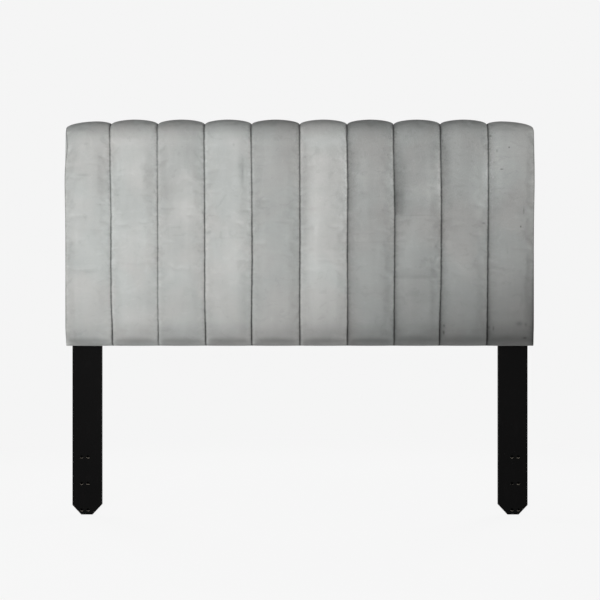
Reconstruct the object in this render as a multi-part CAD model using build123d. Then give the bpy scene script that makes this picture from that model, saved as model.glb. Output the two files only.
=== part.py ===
from build123d import *
import os
from math import cos, hypot, radians, sin, sqrt

# Upholstered headboard with vertical channels, on two bolt-on legs. Millimetres.
# It faces -Y, +X is to the right of someone looking at it, and +Z is up.
# The origin is on the floor, midway between the legs and halfway through the depth.

# Driving sizes of the whole
overall_height = 1340.0  # floor to the crown of the channels
panel_height = 765.0  # lower edge of the velvet to the crown
panel_width = 1570.0  # over the velvet
channel_count = 10

# Padding, measured over the velvet
pad_height = 46.5  # crown of a channel in front of the face board
groove_depth = 18.0  # from the crown back to where two channels meet
shoulder_radius = 8.0  # rounding beside a seam
corner_radius = 14.0  # rounding along the outer sides of the panel
corner_height = 15.0  # seam of the side border, in front of the face board
core_radius = 5.0  # what the underside of the padding turns through over the top edge
bottom_roll_radius = 40.0  # rounding of the lower front edge
back_roll_radius = 14.0  # rounding of the upper back edge
roll_steps = 5  # flats that round the padding over the top edge
lining_steps = 3  # the same under the velvet, where nothing shows

# Velvet and foam
cover_thickness = 1.5
foam_gap = 0.3  # ease between the foam and the inside of the velvet
turnover_width = 45.0  # velvet folded on to the back of the frame

# Face board and wooden frame behind it
board_thickness = 5.0
rail_thickness = 20.0
rail_width = 60.0
end_board_width = 120.0  # upright that takes the leg bolts
stile_width = 60.0
stile_count = 2
frame_corner_radius = 16.0  # upper corners of the frame and face board
groove_seat = 1.0  # top edge of the frame below the velvet in a groove

# Dust cover on the back
dust_cover_thickness = 0.8
dust_cover_inset = 12.0  # its edge, in from the edge of the frame

# Legs
leg_lap = 425.0  # how far a leg runs up behind the panel
leg_width = 100.0
leg_thickness = 20.0
leg_inset = 10.0  # outer edge of a leg, in from the side of the panel
leg_edge_radius = 3.0
tip_width = 38.0  # flat that stands on the floor
tip_height = 33.0  # height of the cut corners
frame_hole_diameter = 9.0  # holes for the bolts of a bed frame
frame_hole_depth = 15.0  # from the front, so the back of the leg stays whole
frame_hole_rows = 3
frame_hole_row_pitch = 90.0
frame_hole_first_row = 17.0  # above the floor
frame_hole_spacing = 21.5  # across a row
frame_hole_offset = 7.0  # middle of a row, outwards from the middle of the leg

# Bolts that hold the legs
bolt_diameter = 8.0
bolt_hole_diameter = 9.0
bolt_rows = 2
bolt_row_pitch = 240.0
bolt_top_margin = 60.0  # upper row below the top end of the leg
bolt_tip_setback = 3.0  # tip of a bolt behind the face board
bolt_head_diameter = 18.0  # wide head that needs no washer
bolt_head_height = 3.5
socket_width = 5.0  # across the flats of the hexagon
socket_depth = 2.6
insert_diameter = 11.0  # threaded insert, let into the back of an end board
insert_length = 16.0
thread_clearance = 0.05
insert_clearance = 0.1

overrun = 1.0  # how far a cutter runs past what it cuts

# Places across the width
panel_side = panel_width / 2
frame_side = panel_side - cover_thickness
channel_pitch = panel_width / channel_count
leg_centre = panel_side - leg_inset - leg_width / 2

# Places through the depth, from the front of the padding to the bolt heads
depths = [pad_height, board_thickness, rail_thickness, cover_thickness, dust_cover_thickness,
          leg_thickness, bolt_head_height]
pad_front = -sum(depths) / 2
board_front = pad_front + pad_height
board_back = board_front + board_thickness
frame_back = board_back + rail_thickness
cover_back = frame_back + cover_thickness
dust_cover_back = cover_back + dust_cover_thickness
leg_back = dust_cover_back + leg_thickness
bolt_tip = board_back + bolt_tip_setback

# Places up the height
panel_bottom = overall_height - panel_height
base_top = overall_height - pad_height  # foot of the padding over the top edge
frame_bottom = panel_bottom + cover_thickness
frame_top = overall_height - groove_depth - cover_thickness - groove_seat
leg_length = panel_bottom + leg_lap
bolt_heights = [leg_length - bolt_top_margin - row * bolt_row_pitch for row in range(bolt_rows)]


def block(x, y, z):
    """Box between two places on each axis."""
    size = [abs(high - low) for low, high in (x, y, z)]
    middle = [(low + high) / 2 for low, high in (x, y, z)]
    return Pos(*middle) * Box(*size)


def rod(x, z, diameter, front, back):
    """Cylinder along Y, from one depth to another."""
    middle = Pos(x, (front + back) / 2, z) * Rot(90, 0, 0)
    return middle * Cylinder(diameter / 2, back - front)


# Padding: a channel's section is drawn across X, with its height above the face board upwards
centre_reach = channel_pitch / 2 - shoulder_radius
crown_radius = ((centre_reach**2 + groove_depth**2 - shoulder_radius**2)
                / (2 * (groove_depth - shoulder_radius)))


def crown_centre(left, right):
    """Centre of the crown, which touches both shoulder circles from outside."""
    (x1, height1, radius1), (x2, height2, radius2) = left, right
    reach1, reach2 = crown_radius - radius1, crown_radius - radius2
    across, rise = x2 - x1, height2 - height1
    span = hypot(across, rise)
    along = (reach1**2 - reach2**2 + span**2) / (2 * span)
    below = sqrt(reach1**2 - along**2)
    return (x1 + (along * across + below * rise) / span,
            height1 + (along * rise - below * across) / span)


def channel_section(index, inset, open_side=False):
    """Section of one channel, set in from the velvet's outer face by inset.

    Under the velvet the shoulders are plain bevels. open_side runs the foot of an end channel
    out past the side of the panel, so that what is cut away there leaves room for the border.
    """
    wall1 = index * channel_pitch - panel_side
    wall2 = wall1 + channel_pitch
    seam_height = pad_height - groove_depth
    radius1 = radius2 = shoulder_radius
    height1 = height2 = seam_height
    first, last = index == 0, index == channel_count - 1
    if first:
        radius1, height1 = corner_radius, corner_height
    if last:
        radius2, height2 = corner_radius, corner_height
    shoulder1 = (wall1 + radius1, height1, radius1)
    shoulder2 = (wall2 - radius2, height2, radius2)
    centre = crown_centre(shoulder1, shoulder2)
    crown = crown_radius - inset

    def touch(shoulder):
        """Where the crown runs into a shoulder."""
        x, height, radius = shoulder
        share = crown / (crown_radius - radius)
        return (centre[0] + (x - centre[0]) * share, centre[1] + (height - centre[1]) * share)

    foot1, foot2 = wall1 + inset, wall2 - inset
    edge1, edge2 = touch(shoulder1), touch(shoulder2)
    if inset:
        rounded = [Line((foot1, height1), edge1), Line((foot2, height2), edge2)]
    else:
        rounded = [TangentArc((foot1, height1), edge1, tangent=(0, 1)),
                   TangentArc((foot2, height2), edge2, tangent=(0, 1))]
    section = make_face([
        Polyline((foot1, height1), (foot1, 0), (foot2, 0), (foot2, height2)),
        ThreePointArc(edge1, (centre[0], centre[1] + crown), edge2),
        *rounded,
    ])
    if open_side and first:
        section += foot_strip(wall1 - overrun, foot1 + overrun)
    if open_side and last:
        section += foot_strip(foot2 - overrun, wall2 + overrun)
    return section


def foot_strip(low, high):
    """Strip from the face board up to the seam of the side border."""
    return Pos((low + high) / 2, corner_height / 2) * Rectangle(high - low, corner_height)


def wrapped(section, steps):
    """Runs a section up the front of the board, over the top edge and back to the wall side."""
    turn_y, turn_z = board_front + core_radius, base_top - core_radius

    def turned(angle):
        """The section with its height pointing forwards at 0 degrees and upwards at 90."""
        forward, upward = cos(radians(angle)), sin(radians(angle))
        origin = (0, turn_y - core_radius * forward, turn_z + core_radius * upward)
        return Plane(origin=origin, x_dir=(1, 0, 0), z_dir=(0, -upward, -forward)) * section

    front = extrude(turned(0), amount=turn_z - panel_bottom + overrun)
    corner = loft([turned(90 * step / steps) for step in range(steps + 1)], ruled=True)
    top = extrude(turned(90), amount=turn_y - cover_back - overrun)
    return front + corner + top


def side_view(inset):
    """Block of the panel as seen from the side, with its lower front and upper back edges rolled."""
    front, back = pad_front + inset, cover_back - inset
    low, high = panel_bottom + inset, overall_height - inset
    front_roll, back_roll = bottom_roll_radius - inset, back_roll_radius - inset
    outline = [
        Line((front, low + front_roll), (front, high)),
        Line((front, high), (back - back_roll, high)),
        TangentArc((back - back_roll, high), (back, high - back_roll), tangent=(1, 0)),
        Line((back, high - back_roll), (back, low)),
        Line((back, low), (front + front_roll, low)),
        TangentArc((front + front_roll, low), (front, low + front_roll), tangent=(-1, 0)),
    ]
    reach = panel_side + 2 * overrun
    return extrude(Plane.YZ * make_face(outline), amount=reach, both=True)


def padding(index, inset, steps, open_side=False):
    """Everything of one channel that lies deeper than inset under the velvet's outer face."""
    return wrapped(channel_section(index, inset, open_side), steps) & side_view(inset)


def frame_slab(front, back):
    """Slab with the outline of the frame, whose upper corners are rounded."""
    slab = block((-frame_side, frame_side), (front, back), (frame_bottom, frame_top))
    corners = slab.edges().filter_by(Axis.Y).group_by(Axis.Z)[-1]
    return fillet(corners, frame_corner_radius)


frame_block = frame_slab(board_front, frame_back)
turnover_slab = frame_slab(frame_back, cover_back)


def side_border():
    """Velvet strip round the right side of the panel, from the end channel to the back."""
    edge = Pos(frame_side + cover_thickness / 2, corner_height / 2)
    strip = edge * Rectangle(cover_thickness, corner_height)
    side = block((frame_side, panel_side), (board_front, cover_back), (panel_bottom, base_top))
    turnover = block((frame_side - turnover_width, frame_side), (frame_back, cover_back),
                     (frame_bottom + turnover_width, frame_top - turnover_width))
    return ((wrapped(strip, roll_steps) + side) & side_view(0)) + turnover


border_right = side_border()
border_left = mirror(border_right, Plane.YZ)


def channel_cover(index):
    """Velvet of one channel: its front and top, the seam walls down to the board, and both turnovers."""
    low = max(index * channel_pitch - panel_side, -frame_side)
    high = min((index + 1) * channel_pitch - panel_side, frame_side)
    hollow = padding(index, cover_thickness, lining_steps, open_side=True)
    shell = padding(index, 0, roll_steps) - hollow - frame_block
    top_turnover = turnover_slab & block((low, high), (frame_back, cover_back),
                                         (frame_top - turnover_width, frame_top))
    under = block((low, high), (board_front, cover_back), (panel_bottom, frame_bottom))
    bottom_turnover = block((low, high), (frame_back, cover_back),
                            (panel_bottom, frame_bottom + turnover_width))
    cover = shell + top_turnover + under + bottom_turnover
    return cover - border_left - border_right


def channel_foam(index):
    """Foam strip of one channel, which also rolls over the top edge of the frame."""
    return padding(index, cover_thickness + foam_gap, lining_steps) - frame_block


# Frame: two rails, two end boards that carry the legs, and stiles between them
stile_bottom = frame_bottom + rail_width
stile_top = frame_top - rail_width
stile_centres = [-frame_side + 2 * frame_side * (n + 1) / (stile_count + 1) for n in range(stile_count)]


def rail(low):
    """Rail across the whole frame."""
    length = block((-frame_side, frame_side), (board_back, frame_back), (low, low + rail_width))
    return length & frame_slab(board_back, frame_back)


def stile(centre):
    """Upright between the rails."""
    width = (centre - stile_width / 2, centre + stile_width / 2)
    return block(width, (board_back, frame_back), (stile_bottom, stile_top))


def end_board(side):
    """Upright at the end of the frame, drilled for the threaded inserts of a leg."""
    edges = sorted([side * frame_side, side * (frame_side - end_board_width)])
    board = block(edges, (board_back, frame_back), (stile_bottom, stile_top))
    for z in bolt_heights:
        board -= rod(side * leg_centre, z, insert_diameter + 2 * insert_clearance, board_back, frame_back)
    return board


def dust_cover():
    """Thin cloth over the back of the frame, with holes for the leg bolts."""
    half = frame_side - dust_cover_inset
    cloth = block((-half, half), (cover_back, dust_cover_back),
                  (frame_bottom + dust_cover_inset, frame_top - dust_cover_inset))
    for side in (-1, 1):
        for z in bolt_heights:
            cloth -= rod(side * leg_centre, z, bolt_hole_diameter, cover_back, dust_cover_back)
    return cloth


def leg(side):
    """Painted strut with cut lower corners, bolt holes and rows of holes for a bed frame."""
    outline = Polyline(
        (-tip_width / 2, 0), (tip_width / 2, 0), (leg_width / 2, tip_height), (leg_width / 2, leg_length),
        (-leg_width / 2, leg_length), (-leg_width / 2, tip_height), close=True)
    front = Plane(origin=(side * leg_centre, dust_cover_back, 0), x_dir=(1, 0, 0), z_dir=(0, -1, 0))
    strut = extrude(front * make_face(outline), amount=-leg_thickness)
    strut = fillet(strut.edges().filter_by(Axis.Z), leg_edge_radius)
    middle = side * (leg_centre + frame_hole_offset)
    for row in range(frame_hole_rows):
        height = frame_hole_first_row + row * frame_hole_row_pitch
        for x in (middle - frame_hole_spacing / 2, middle + frame_hole_spacing / 2):
            strut -= rod(x, height, frame_hole_diameter, dust_cover_back, dust_cover_back + frame_hole_depth)
    for z in bolt_heights:
        strut -= rod(side * leg_centre, z, bolt_hole_diameter, dust_cover_back, leg_back)
    return strut


# Hardware of one leg, as groups of separate solids
def bolt(x, z):
    """Bolt with a wide flat head and a hexagon socket, from behind the leg into its insert."""
    head_back = leg_back + bolt_head_height
    shank = rod(x, z, bolt_diameter, bolt_tip, leg_back)
    head = rod(x, z, bolt_head_diameter, leg_back, head_back)
    mouth = Plane(origin=(x, head_back, z), x_dir=(1, 0, 0), z_dir=(0, 1, 0))
    hexagon = RegularPolygon(socket_width / 2, 6, major_radius=False)
    return shank + head - extrude(mouth * hexagon, amount=-socket_depth)


def insert(x, z):
    """Threaded insert, flush with the back of an end board."""
    sleeve = rod(x, z, insert_diameter, frame_back - insert_length, frame_back)
    return sleeve - rod(x, z, bolt_diameter + 2 * thread_clearance, frame_back - insert_length, frame_back)


def group(piece, side):
    """One piece at every bolt of a leg, kept as separate solids."""
    return Compound([piece(side * leg_centre, z).solid() for z in bolt_heights])


nodes = {
    "face_board": frame_slab(board_front, board_back),
    "bottom_rail": rail(frame_bottom),
    "top_rail": rail(frame_top - rail_width),
    "dust_cover": dust_cover(),
    "side_border_left": border_left,
    "side_border_right": border_right,
}
for number, centre in enumerate(stile_centres, 1):
    nodes[f"inner_stile_{number}"] = stile(centre)
for index in range(channel_count):
    nodes[f"channel_cover_{index + 1:02d}"] = channel_cover(index)
    nodes[f"channel_foam_{index + 1:02d}"] = channel_foam(index)
for name, side in (("left", -1), ("right", 1)):
    nodes[f"{name}_end_board"] = end_board(side)
    nodes[f"{name}_leg"] = leg(side)
    nodes[f"{name}_leg_bolts"] = group(bolt, side)
    nodes[f"{name}_leg_inserts"] = group(insert, side)

os.makedirs("parts", exist_ok=True)
for name, shape in nodes.items():
    export_step(shape, f"parts/{name}.step")
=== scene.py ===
# %% [markdown]
# # Velvet headboard with ten vertical channels
# A headboard is a light wooden frame with a board over its front. Foam strips lie side by side on
# the board, and velvet is pulled over each of them and stapled behind. Two painted legs carry it.
# Everything here is in metres: +X is right, -Y is towards the viewer and +Z is up.
# The CAD model comes first. It gives the true sizes, and each piece below is fitted to it.

# %% Load the CAD model
from math import atan2, cos, exp, hypot, pi, radians, sin

import bmesh
import bpy
import numpy as np
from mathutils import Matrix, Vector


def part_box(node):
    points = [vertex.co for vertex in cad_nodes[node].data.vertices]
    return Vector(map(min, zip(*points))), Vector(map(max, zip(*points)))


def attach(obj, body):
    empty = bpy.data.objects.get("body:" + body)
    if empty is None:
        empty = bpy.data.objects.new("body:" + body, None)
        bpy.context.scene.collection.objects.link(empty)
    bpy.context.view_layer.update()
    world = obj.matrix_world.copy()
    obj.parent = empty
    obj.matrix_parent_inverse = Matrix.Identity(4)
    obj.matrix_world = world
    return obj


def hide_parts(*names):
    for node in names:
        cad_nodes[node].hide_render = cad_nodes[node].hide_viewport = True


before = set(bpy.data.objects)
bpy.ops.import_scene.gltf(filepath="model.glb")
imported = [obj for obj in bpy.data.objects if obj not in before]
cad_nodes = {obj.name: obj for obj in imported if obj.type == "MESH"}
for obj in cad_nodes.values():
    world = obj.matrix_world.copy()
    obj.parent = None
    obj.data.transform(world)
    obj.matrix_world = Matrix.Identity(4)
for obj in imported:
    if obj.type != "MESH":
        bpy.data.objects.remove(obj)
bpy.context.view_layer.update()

# %% [markdown]
# The main sizes are read from the boxes of the CAD nodes, so that the velvet always fits its frame.
# The heights of the padding above the board are those of the CAD model: 46.5 mm at a crown, 28.5 mm
# where two channels meet and 15 mm at the seam of the side border.

# %% Sizes taken from the CAD model
board_low, board_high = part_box("face_board")
cloth_low, cloth_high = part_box("dust_cover")
cover_low, cover_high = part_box("channel_cover_05")
leg_low, leg_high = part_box("right_leg")
pad_front, velvet_back = cover_low.y, cover_high.y
panel_bottom, panel_top = cover_low.z, cover_high.z
board_front, board_back = board_low.y, board_high.y
frame_top = board_high.z
panel_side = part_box("side_border_right")[1].x
channel_count = 10
channel_pitch = 2 * panel_side / channel_count
crown_height = board_front - pad_front
groove_depth, end_crown_drop = 0.018, 0.006  # as in the CAD model
groove_height = crown_height - groove_depth
end_crown_height = crown_height - end_crown_drop
border_height = 0.015
border_top = panel_top - crown_height + border_height
print("panel", round(2 * panel_side, 3), "by", round(panel_top - panel_bottom, 3))
print("padding", round(crown_height, 4), "at a crown and", round(groove_height, 4), "at a seam")


# %% Helpers that put things into the scene
def add_object(name, data, hidden=False):
    """A new object with its mesh, curve, lamp or camera. A hidden one only guides other pieces."""
    made = bpy.data.objects.new(name, data)
    bpy.context.scene.collection.objects.link(made)
    made.hide_render = hidden
    return made


def add_mesh(name, points, edges=(), faces=(), hidden=False):
    """A new object with a mesh of points, edges and faces."""
    mesh = bpy.data.meshes.new(name)
    mesh.from_pydata(points, edges, faces)
    return add_object(name, mesh, hidden)


# %% [markdown]
# ## Writing node trees as plain Python
# A node tree is easier to read as a formula. `Socket` wraps one output of a node, and its operators
# add Math nodes, so `1 - mask * 0.5` works. `Graph.node` adds any other node: its settings are set
# first, because some of them change which sockets it has. `Finish` is such a graph for a material,
# and `Recipe` is one for Geometry Nodes.


# %% Sockets with arithmetic
class Socket:
    """An output of a node. Arithmetic on it adds Math nodes."""

    def __init__(self, graph, output):
        self.graph, self.output = graph, output

    def __add__(self, other):
        return self.graph.math("ADD", self, other)

    def __sub__(self, other):
        return self.graph.math("SUBTRACT", self, other)

    def __rsub__(self, other):
        return self.graph.math("SUBTRACT", other, self)

    def __mul__(self, other):
        return self.graph.math("MULTIPLY", self, other)

    def __truediv__(self, other):
        return self.graph.math("DIVIDE", self, other)

    def __pow__(self, other):
        return self.graph.math("POWER", self, other)

    def __neg__(self):
        return self.graph.math("MULTIPLY", self, -1.0)

    __radd__ = __add__
    __rmul__ = __mul__


# %% A graph that adds nodes
class Graph:
    """A node tree of a material or of Geometry Nodes."""

    def __init__(self, tree):
        self.tree = tree

    def feed(self, entry, value):
        """Puts a link or a plain value on an input."""
        if isinstance(value, Socket):
            self.tree.links.new(value.output, entry)
        else:
            entry.default_value = value

    def node(self, kind, settings=None, sockets=None, output=0):
        """Adds a node of any kind, with its settings, the values or links of its sockets, and one output."""
        made = self.tree.nodes.new(kind)
        for name, value in (settings or {}).items():
            setattr(made, name, value)
        for name, value in (sockets or {}).items():
            self.feed(made.inputs[name], value)
        return Socket(self, made.outputs[output])

    def math(self, operation, first, second=0.0):
        """Any Math node."""
        return self.node("ShaderNodeMath", {"operation": operation}, {0: first, 1: second})

    def between(self, value, low, high, start=0.0, end=1.0):
        """Turns a range of values smoothly into another, and stays within it."""
        return self.node("ShaderNodeMapRange", {"interpolation_type": "SMOOTHSTEP"},
                         {0: value, 1: low, 2: high, 3: start, 4: end})

    def mix(self, share, first, second):
        """Blends two colours."""
        settings = {"data_type": "RGBA", "clamp_factor": True}
        return self.node("ShaderNodeMix", settings, {0: share, 6: first, 7: second}, output=2)

    def apart(self, vector):
        """The X, Y and Z of a vector."""
        split = self.tree.nodes.new("ShaderNodeSeparateXYZ")
        self.feed(split.inputs[0], vector)
        return [Socket(self, out) for out in split.outputs]

    def seen_directly(self):
        """1 where the camera, a mirror or glass sees a surface, and 0 where only its light arrives."""
        rays = self.tree.nodes.new("ShaderNodeLightPath").outputs
        by_camera, in_mirror, through_glass = [
            Socket(self, rays[f"Is {kind} Ray"]) for kind in ("Camera", "Glossy", "Transmission")]
        return self.math("MAXIMUM", by_camera, self.math("MAXIMUM", in_mirror, through_glass))


# %% A graph for a material
def linear(*levels):
    """A colour as a shader wants it, from screen levels of 0 to 255."""
    return tuple(((v / 255 + 0.055) / 1.055) ** 2.4 if v > 10 else v / 255 / 12.92 for v in levels)


def rgba(*levels):
    """The same with a full alpha."""
    return (*linear(*levels), 1.0)


class Finish(Graph):
    """A material with one main shader, whose noises read the place on the object."""

    def __init__(self, name, **constants):
        self.material = bpy.data.materials.new(name)
        self.material.use_nodes = True
        super().__init__(self.material.node_tree)
        self.shader = self.tree.nodes["Principled BSDF"]
        for label, value in constants.items():
            self.entry(label).default_value = value
        self.place = self.node("ShaderNodeTexCoord", output=3)

    def entry(self, label):
        """An input of the main shader."""
        return self.shader.inputs[label.replace("_", " ").title().replace("Ior", "IOR")]

    def noise(self, scale, stretch=(1.0, 1.0, 1.0), detail=2.0, roughness=0.5, distortion=0.0, shift=0.0):
        """Noise from 0 to 1 with features of about 1/scale metres, drawn out where stretch is small."""
        where = self.node("ShaderNodeMapping", None, {0: self.place, 1: (shift, shift, shift), 3: stretch})
        return self.node("ShaderNodeTexNoise", None, {"Vector": where, "Scale": scale, "Detail": detail,
                                                      "Roughness": roughness, "Distortion": distortion})

    def attribute(self, name):
        """A value that is kept on the mesh."""
        return self.node("ShaderNodeAttribute", {"attribute_name": name}, output=2)

    def bump(self, height, distance, strength=1.0):
        """A normal from a height between 0 and 1."""
        sockets = {"Height": height, "Distance": distance, "Strength": strength}
        return self.node("ShaderNodeBump", None, sockets)

    def put(self, **links):
        """Feeds what varies over the surface to the main shader."""
        for label, value in links.items():
            self.feed(self.entry(label), value)
        return self.material


print("one colour check:", [round(v, 3) for v in linear(189, 192, 189)])


# %% A graph for Geometry Nodes
class Recipe(Graph):
    """A Geometry Nodes tree with named inputs that is run once to make a plain mesh."""

    def __init__(self, name, inputs):
        super().__init__(bpy.data.node_groups.new(name, "GeometryNodeTree"))
        face = self.tree.interface
        self.identifiers = {
            label: face.new_socket(name=label, in_out="INPUT", socket_type=f"NodeSocket{kind}").identifier
            for label, kind in inputs.items()}
        face.new_socket(name="Geometry", in_out="OUTPUT", socket_type="NodeSocketGeometry")
        entry = self.tree.nodes.new("NodeGroupInput")
        self.given = {label: Socket(self, entry.outputs[label]) for label in inputs}

    def shape_of(self, label):
        """The mesh or curve of the object on an input."""
        settings = {"transform_space": "ORIGINAL"}
        return self.node("GeometryNodeObjectInfo", settings, {"Object": self.given[label]}, "Geometry")

    def end(self, geometry, finish):
        """Ends the tree: real geometry instead of instances, and the material on an input."""
        whole = self.node("GeometryNodeRealizeInstances", None, {"Geometry": geometry})
        sockets = {"Geometry": whole, "Material": self.given[finish]}
        dressed = self.node("GeometryNodeSetMaterial", None, sockets)
        leaving = self.tree.nodes.new("NodeGroupOutput")
        self.feed(leaving.inputs["Geometry"], dressed)
        print(len(self.tree.nodes), "nodes in", self.tree.name)

    def make(self, name, sizes):
        """Runs the tree with its inputs set, and keeps its result as a plain mesh."""
        carrier = add_object(name, bpy.data.meshes.new(name))
        modifier = carrier.modifiers.new("form", "NODES")
        modifier.node_group = self.tree
        for label, value in sizes.items():
            modifier[self.identifiers[label]] = value
        carrier.update_tag()
        bpy.context.view_layer.update()
        ready = carrier.evaluated_get(bpy.context.evaluated_depsgraph_get())
        mesh = bpy.data.meshes.new_from_object(ready)
        carrier.modifiers.clear()
        finishes = [m for m in mesh.materials if m]
        mesh.materials.clear()
        for finish in finishes:
            mesh.materials.append(finish)
        mesh.polygons.foreach_set("material_index", [0] * len(mesh.polygons))
        carrier.data = mesh
        mesh.name = name
        return carrier


# %% [markdown]
# ## Camera, floor and light
# The picture is a plain front view: a level camera 3.8 m in front of the panel, a little below its
# middle. One large soft lamp stands on the left at the height of the camera, so the top edge of the
# panel, which looks up, and the lower edge, which looks down, go dark. Two lamps behind light the
# back and the sides just as much and don't reach the front. A weak even light comes from all round.
# The pale backdrop is a colour that only the camera, mirrors and glass see.

# %% Camera
camera_distance, camera_height = 3.8, 0.73
camera_data = bpy.data.cameras.new("front_camera")
camera_data.lens, camera_data.sensor_width = 68.3, 36.0
camera = add_object("front_camera", camera_data)
camera.location = (0.0, pad_front - camera_distance, camera_height)
camera.rotation_euler = (radians(90), 0.0, 0.0)
bpy.context.scene.camera = camera
bpy.context.scene.view_settings.view_transform = "Standard"
print("camera at", [round(v, 3) for v in camera.location])


# %% Lamps
def soft_lamp(name, place, target, size, power):
    """A large rectangular lamp that faces a point. The camera doesn't see the lamp itself."""
    lamp = bpy.data.lights.new(name, "AREA")
    lamp.shape, lamp.energy = "RECTANGLE", power
    lamp.size, lamp.size_y = size
    made = add_object(name, lamp)
    made.location, made.visible_camera = place, False
    right, forward, up = (t - p for t, p in zip(target, place))
    made.rotation_euler = (atan2(hypot(right, forward), -up), 0.0, atan2(forward, right) - pi / 2)


soft_lamp("key_lamp", (-0.55, -4.3, 1.15), (0.0, 0.0, 0.95), (2.2, 1.5), 150.0)
soft_lamp("side_lamp", (-2.6, -1.8, 1.1), (-0.1, 0.0, 0.95), (1.6, 1.4), 7.0)
for side_name, side in (("left", -1), ("right", 1)):
    soft_lamp(f"rear_{side_name}_lamp", (side * 2.9, 2.7, 1.15), (side * 0.3, 0.0, 0.90), (1.8, 1.5), 95.0)
print(len(bpy.data.lights), "lamps")

# %% Backdrop and even light
backdrop = rgba(245, 245, 245)
even_light = (0.09, 0.09, 0.09, 1.0)
world = bpy.data.worlds.new("studio")
world.use_nodes = True
bpy.context.scene.world = world
studio = Graph(world.node_tree)
sky = studio.tree.nodes["Background"]
studio.feed(sky.inputs["Color"], studio.mix(studio.seen_directly(), even_light, backdrop))
print("even light", even_light[0], "backdrop", round(backdrop[0], 3))

# %% [markdown]
# The floor is a large pale sheet. Seen by the camera it glows with the colour of the backdrop, and
# near the legs a part of it is plain paint that takes their soft shadow. Further off the paint
# fades out, so the floor runs into the backdrop without a horizon.

# %% Floor
floor_reach, paint_fades, paint_ends = 9, 0.9, 2.2
paint_share, glow_gain = 0.06, 0.66
corners = [(x * floor_reach, y * floor_reach, 0) for x, y in ((-1, -1), (1, -1), (1, 1), (-1, 1))]
floor = add_mesh("floor", corners, faces=[(0, 1, 2, 3)])
floor_paint = bpy.data.materials.new("pale_floor")
floor_paint.use_nodes = True
ground = Graph(floor_paint.node_tree)
ground.tree.nodes.clear()
across, along, _ = ground.apart(ground.node("ShaderNodeTexCoord", output=3))
away = ground.math("SQRT", across * across + along * along)
near = ground.between(away, paint_fades, paint_ends, paint_share, 0.0)
strength = 1 + near * glow_gain
glow = ground.node("ShaderNodeEmission", None, {"Color": backdrop, "Strength": strength})
paint = ground.node("ShaderNodeBsdfDiffuse", None, {"Color": (0.9, 0.9, 0.9, 1.0)})
glowing = ground.seen_directly() * (1 - near)
blend = ground.node("ShaderNodeMixShader", None, {0: glowing, 1: paint, 2: glow})
ending = ground.tree.nodes.new("ShaderNodeOutputMaterial")
ground.feed(ending.inputs["Surface"], blend)
floor.data.materials.append(floor_paint)
print("floor", 2 * floor_reach, "m wide")

# %% [markdown]
# ## Grey velvet
# Velvet is a short pile of upright fibres. Where a hand or the packing has stroked the pile, it
# leans another way and looks lighter or darker, in soft patches with blurred edges. Beside a seam
# the needle gathers it in short ticks, and in the upper right part it is crushed to fine flecks.
# Fibres seen from the side catch light, which is the sheen along the rounded flanks. Two values are
# kept on the mesh: one says how much light comes back at each point, with painted shade and painted
# highlights in it, and `tuck` says how near a seam is. Noises of several sizes add the mottling, and
# each takes or gives a share of that light. The few marks that stand out are listed one by one, each
# a small soft spot.

# %% Small marks in the pile
marks = [  # sideways and height in m, half width and half height in m, share of light taken away
    (0.6380, 1.279, 0.0042, 0.0034, 0.46), (0.6985, 1.240, 0.0025, 0.0023, 0.66),
    (0.6740, 1.167, 0.0048, 0.0015, 0.72), (0.7380, 0.9755, 0.0021, 0.0030, 0.70),
    (0.7490, 1.029, 0.0024, 0.0090, 0.36), (0.4770, 1.263, 0.0030, 0.0040, 0.35),
    (0.4850, 1.240, 0.0030, 0.0050, 0.22), (0.6150, 0.987, 0.0062, 0.0036, 0.32),
    (-0.7150, 1.252, 0.0090, 0.0045, 0.13), (-0.7250, 1.148, 0.0230, 0.0050, 0.14),
    (0.3900, 1.0125, 0.0700, 0.0022, 0.09), (0.3150, 0.925, 0.0350, 0.0020, 0.08),
    (0.3900, 0.802, 0.0650, 0.0022, 0.05), (0.2300, 0.9230, 0.0600, 0.0018, 0.05),
    (0.4820, 0.644, 0.0034, 0.0050, 0.42), (0.4810, 0.621, 0.0034, 0.0075, 0.50),
    (0.7330, 0.6510, 0.0110, 0.0085, 0.30), (0.7560, 0.648, 0.0050, 0.0060, 0.26),
    (0.7530, 0.603, 0.0065, 0.0032, 0.48), (0.6320, 0.638, 0.0050, 0.0045, 0.25),
    (0.6470, 0.6355, 0.0030, 0.0080, 0.32), (-0.1920, 1.156, 0.0036, 0.0300, 0.15),
    (-0.2210, 1.248, 0.0034, 0.0050, 0.15), (-0.6090, 1.081, 0.0080, 0.0022, 0.15),
    (-0.6680, 1.049, 0.0024, 0.0024, 0.22), (0.6385, 1.095, 0.0026, 0.0045, -0.14),
    (0.6360, 1.052, 0.0022, 0.0060, -0.14), (-0.1840, 1.150, 0.0030, 0.0300, -0.08),
    (0.6605, 1.243, 0.0050, 0.0022, -0.10), (0.6586, 1.229, 0.0024, 0.0045, 0.28),
]


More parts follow.
